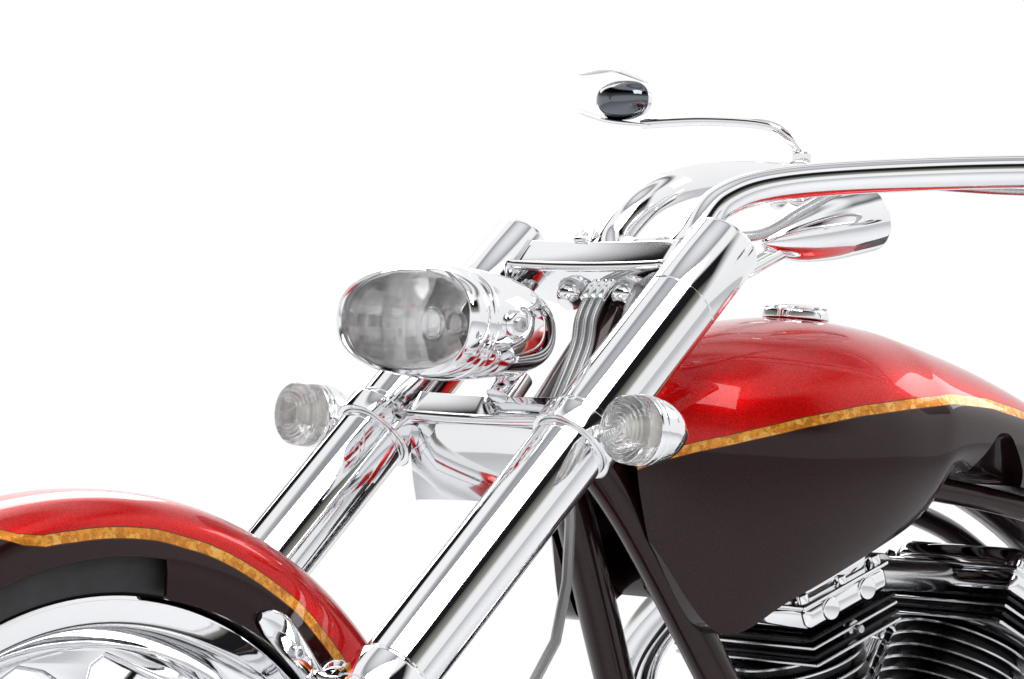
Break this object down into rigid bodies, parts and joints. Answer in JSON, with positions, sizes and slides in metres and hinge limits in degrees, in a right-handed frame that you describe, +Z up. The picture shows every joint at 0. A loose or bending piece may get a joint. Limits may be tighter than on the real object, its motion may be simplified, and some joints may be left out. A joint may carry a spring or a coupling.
{
  "type": "chopper motorcycle",
  "caption": "Long, low chopper motorcycle with raked fork, wide swept bars, V-twin engine and fat rear tyre, leaning on its side stand.",
  "frame": {"origin": "middle of the bounding box at ground level", "axes": "+Z up, -Y is the way it rides, +X is the rider's left; the bike leans 5 degrees to its left on its stand"},
  "size_m": [1.101, 2.5798, 1.1939],
  "materials": {
    "chrome": "polished",
    "polished": "polished",
    "black_metal": "satin",
    "steel": "machined",
    "maroon": "gloss",
    "candy_red": "candy gloss with a gold leaf stripe",
    "tyre": "matte",
    "rubber": "matte",
    "leather": "satin",
    "clear_lens": "clear",
    "red_lens": "gloss",
    "braid": "braided"
  },
  "bodies": {
    "chassis": {"air_cleaner": "chrome", "cam_cover": "chrome", "crankcase": "black_metal", "drive_belt": "rubber", "exhaust_pipes": "chrome", "frame": "maroon", "front_cylinder": "black_metal", "front_rocker_box": "chrome", "fuel_cap": "chrome", "fuel_tank": "candy_red", "gearbox": "polished", "left_foot_control": "chrome", "number_plate": "steel", "oil_tank": "chrome", "primary_cover": "chrome", "rear_axle": "steel", "rear_caliper": "chrome", "rear_cylinder": "black_metal", "rear_fender": "candy_red", "rear_rocker_box": "chrome", "right_foot_control": "chrome", "seat": "leather", "swingarm": "maroon", "tail_light": "red_lens"},
    "fork": {"left_fork_leg": "chrome", "right_fork_leg": "chrome", "upper_clamp": "chrome", "lower_clamp": "chrome", "headlight_shell": "chrome", "headlight_lens": "clear_lens", "left_turn_signal": "chrome", "right_turn_signal": "chrome", "front_fender": "candy_red", "front_axle": "steel", "handlebar": "chrome", "gauge_pod": "chrome", "left_grip": "rubber", "right_grip": "rubber", "clutch_lever": "chrome", "brake_lever": "chrome", "left_mirror": "chrome", "right_mirror": "chrome", "front_caliper": "chrome", "front_brake_hose": "braid"},
    "front_wheel_body": {"front_tyre": "tyre", "front_wheel": "chrome", "front_disc": "steel"},
    "rear_wheel_body": {"rear_tyre": "tyre", "rear_wheel": "chrome", "rear_disc": "steel", "rear_pulley": "steel"},
    "stand_body": {"side_stand": "chrome"}
  },
  "joints": [
    {"name": "steering", "type": "hinge", "parent": "chassis", "child": "fork", "pos_m": [-0.03139, -0.47849, 0.75992], "axis": [0.0687, 0.6156, 0.7851], "range_deg": [-28, 28]},
    {"name": "front_wheel_spin", "type": "hinge", "parent": "fork", "child": "front_wheel_body", "pos_m": [-0.06873, -0.95552, 0.33311], "axis": [0.9962, 0, -0.0872], "continuous": true},
    {"name": "rear_wheel_spin", "type": "hinge", "parent": "chassis", "child": "rear_wheel_body", "pos_m": [-0.06969, 0.96448, 0.32236], "axis": [0.9962, 0, -0.0872], "continuous": true},
    {"name": "side_stand_fold", "type": "hinge", "parent": "chassis", "child": "stand_body", "pos_m": [0.07171, 0.0045, 0.11414], "axis": [0.6209, -0.1389, 0.7715], "range_deg": [0, 105]}
  ]
}
